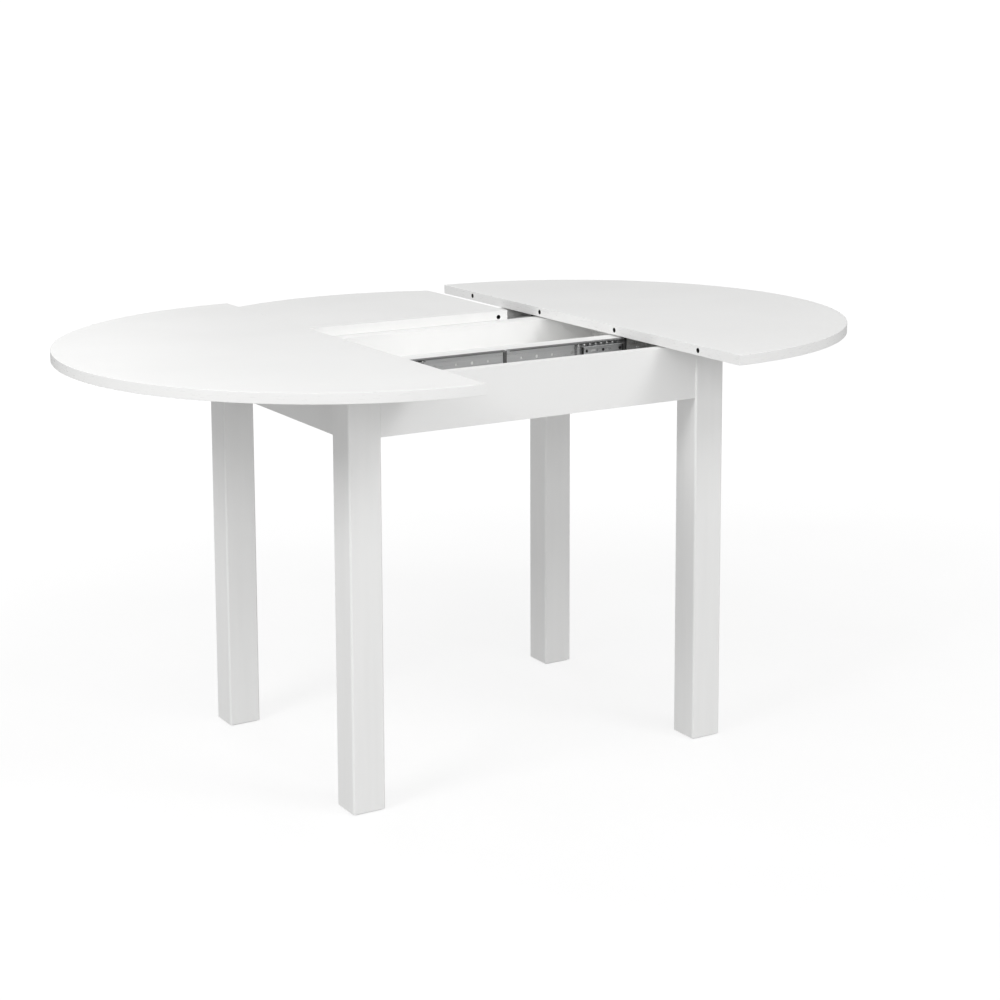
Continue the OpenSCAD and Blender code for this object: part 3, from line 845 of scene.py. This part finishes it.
def place_corner_fixings():
    """Screws, hanger bolts and nuts of the four corner plates."""
    apron_y, apron_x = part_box("apron_back")[0].y / MM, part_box("apron_right")[0].x / MM
    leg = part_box("leg_back_right")[0] / MM
    plate_low, plate_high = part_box("corner_plates")
    levels = (plate_low.z / MM + 13, plate_high.z / MM - 13)
    plate_sum = leg.x + leg.y - PLATE_GAP
    screw = pan_screw(6.5, 2.0, 2.9, 13)
    head_to_minus_y = Matrix.Rotation(math.radians(90), 4, "X")
    head_to_minus_x = Matrix.Rotation(math.radians(-90), 4, "Y")
    bolt = hanger_bolt()
    nut = hanger_nut(-PLATE_GAP * math.sqrt(0.5) - PLATE)
    diagonal = Matrix.Rotation(math.radians(45), 4, "Z") @ ALONG_X
    screws, bolts, nuts = [], [], []
    for sx, sy in ((sx, sy) for sx in ENDS.values() for sy in SIDES.values()):
        mirror = Matrix.Diagonal((sx, sy, 1, 1))
        for z in levels:
            for s in (8, 20):
                on_long = at(plate_sum - apron_y + s, apron_y - PLATE, z, head_to_minus_y)
                on_end = at(apron_x - PLATE, plate_sum - apron_x + s, z, head_to_minus_x)
                screws += [moved(screw.copy(), mirror @ where) for where in (on_long, on_end)]
            where = mirror @ at(leg.x, leg.y, z, diagonal)
            bolts.append(moved(bolt.copy(), where))
            nuts.append(moved(nut.copy(), where))
    finish_piece("plate_screws_heads", merge(screws), "frame", "screw_steel", ["plate_screws"])
    finish_piece("hanger_bolts_threaded", merge(bolts), "frame", "screw_steel", ["hanger_bolts"])
    finish_piece("hanger_nuts_flanged", merge(nuts), "frame", "screw_steel", ["hanger_nuts"])
    for bm in (screw, bolt, nut):
        bm.free()


def place_channel_screws():
    screw = flat_screw(6.6, 2.9, 13.4)
    made = [on_slide(moved(screw.copy(), at(x, STEEL - 0.1, 0, ALONG_Y)), sx, sy)
            for sx in ENDS.values() for sy in SIDES.values() for x in CHANNEL_SCREWS]
    finish_piece("channel_screws_heads", merge(made), "frame", "screw_steel", ["channel_screws_all"])
    screw.free()


ANGLE_STEEL = 1.6                     # thickness of the angles, in millimetres
RIVET_HEAD = 1.2                      # height of the head inside the member


def place_angles():
    """Bent steel angles: one leg riveted to the inner member, the other screwed up into the half top."""
    thick = ANGLE_STEEL
    upside_down = Matrix.Rotation(math.radians(180), 4, "X")
    for end, sx in ENDS.items():
        low, high = (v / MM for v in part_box(f"slide_angle_back_{end}"))
        x0, x1 = along_slide(f"slide_angle_back_{end}")
        seam, fix_y, under = x0 - 5.2, low.y + 16, high.z - thick
        body = prism(fillet([(low.y, low.z, 0.3), (low.y, high.z, 2.4), (high.y, high.z, 0.3),
                             (high.y, under, 0.3), (low.y + thick, under, 0.8),
                             (low.y + thick, low.z, 0.3)]), x0, x1)
        tools = [hole_tool(seam + x, SLIDE_MID, 2.25, low.y - 1, low.y + 3) for x in ANGLE_RIVETS]
        tools += [moved(rod(3.75, -0.1, thick + 0.1, 24, 2.1), at(seam + x, fix_y, under))
                  for x in ANGLE_SCREWS]
        body = boolean(body, tools)
        far = RIVET_HEAD + STEEL + thick
        rivet = lathe([(0, 0.0), (1.6, 0.0), (2.7, 0.25), (3.4, 0.8), (3.5, RIVET_HEAD),
                       (2.2, RIVET_HEAD), (2.2, far), (3.75, far), (3.7, far + 0.5), (3.0, far + 1.1),
                       (1.4, far + 1.2), (1.1, far + 0.7), (0, far + 0.6)])
        screw = flat_screw(7.0, 4.0, 13.5)
        fixings = []
        for side, sy in SIDES.items():
            mirror = Matrix.Diagonal((sx, sy, 1, 1))
            node = f"slide_angle_{side}_{end}"
            finish_piece(node + "_bent", moved(body.copy(), mirror), f"{end}_top", "plate_steel", [node])
            for x in ANGLE_RIVETS:
                where = at(seam + x, low.y - STEEL - RIVET_HEAD, SLIDE_MID, ALONG_Y)
                fixings.append(moved(rivet.copy(), mirror @ where))
            for x in ANGLE_SCREWS:
                where = at(seam + x, fix_y, under + 0.05, upside_down)
                fixings.append(moved(screw.copy(), mirror @ where))
        finish_piece(f"angle_screws_{end}_heads", merge(fixings), f"{end}_top", "screw_steel",
                     [f"angle_screws_{end}"])
        for bm in (body, rivet, screw):
            bm.free()


PIN_SPOTS = (-384, -128, 128, 384)    # along the seam
PIN_SIDES, PIN_FLUTES = 40, 0.12
SEAM_PIN, LEAF_PIN = 34.0, 29.0       # lengths


def fluted_pin(length):
    return lathe([(0, 0.0), (2.6, 0.0), (3.4, 0.5), (3.95, 1.6), (3.95, length - 1), (3.2, length),
                  (0, length)], PIN_SIDES, PIN_FLUTES)


def place_pins():
    backwards = Matrix.Rotation(math.radians(-90), 4, "Y")      # +Z to -X
    low, high = (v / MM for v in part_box("locating_pins_left"))
    level = (low.z + high.z) / 2
    pins = [moved(fluted_pin(SEAM_PIN), at(high.x, y, level, backwards)) for y in PIN_SPOTS]
    finish_piece("locating_pins_left_fluted", merge(pins), "left_top", "pin_plastic",
                 ["locating_pins_left"])
    low, high = (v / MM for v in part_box("leaf_back_pin"))
    pin = moved(fluted_pin(LEAF_PIN), at(high.x, (low.y + high.y) / 2, (low.z + high.z) / 2, backwards))
    finish_piece("leaf_back_pin_fluted", pin, "leaf", "pin_plastic", ["leaf_back_pin"])


def dark_hole_lining(bore, mouth, depth):
    # its dark material is painted shade inside the hole
    """Closed lining of a pin hole along +Z: radius of its bore, and where it starts and ends."""
    wall, floor = bore + 0.34, depth - 0.4
    outline = [(bore, mouth), (wall, mouth), (wall, depth), (0, depth), (0, floor), (bore, floor)]
    bm = lathe(outline + outline[:1])
    bmesh.ops.remove_doubles(bm, verts=bm.verts, dist=1e-6)
    bmesh.ops.recalc_face_normals(bm, faces=bm.faces)
    return bm


def place_hole_linings():
    """Dark linings in the pin holes of the right half and of the leaf's front edge: painted shade for the
    holes' shaded insides.
    """
    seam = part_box("edge_band_right")[0].x / MM
    low, high = (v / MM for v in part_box("locating_pins_left"))
    level = (low.z + high.z) / 2
    made = [moved(dark_hole_lining(4.1, 0.3, 12.6), at(seam, y, level, ALONG_X)) for y in PIN_SPOTS]
    finish_piece("pin_holes_painted_shade_right", merge(made), "right_top", "buffer_plastic")
    low, high = (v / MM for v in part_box("leaf_back"))
    middle, reach = (low.x + high.x) / 2, (high.x - low.x) / 2 - 19.5
    made = [moved(dark_hole_lining(3.9, 0.2, 11.6), at(middle + s * reach, low.y, low.z + 6, ALONG_Y))
            for s in (-1, 1)]
    finish_piece("pin_holes_painted_shade_leaf", merge(made), "leaf", "buffer_plastic")


place_channels()
place_members()
place_inner_members()
place_cages()
place_corner_fixings()
place_channel_screws()
place_angles()
place_pins()
place_hole_linings()
for node in ("stored_leaf_pins", "rail_dowels"):
    eased_copy(node, 0.5 * MM, 2)


# ---------------------------------------------------------------- finish

for node, obj in frame["nodes"].items():
    obj.data.materials.clear()
    obj.data.materials.append(MATERIALS[SLOT_OF[node]])
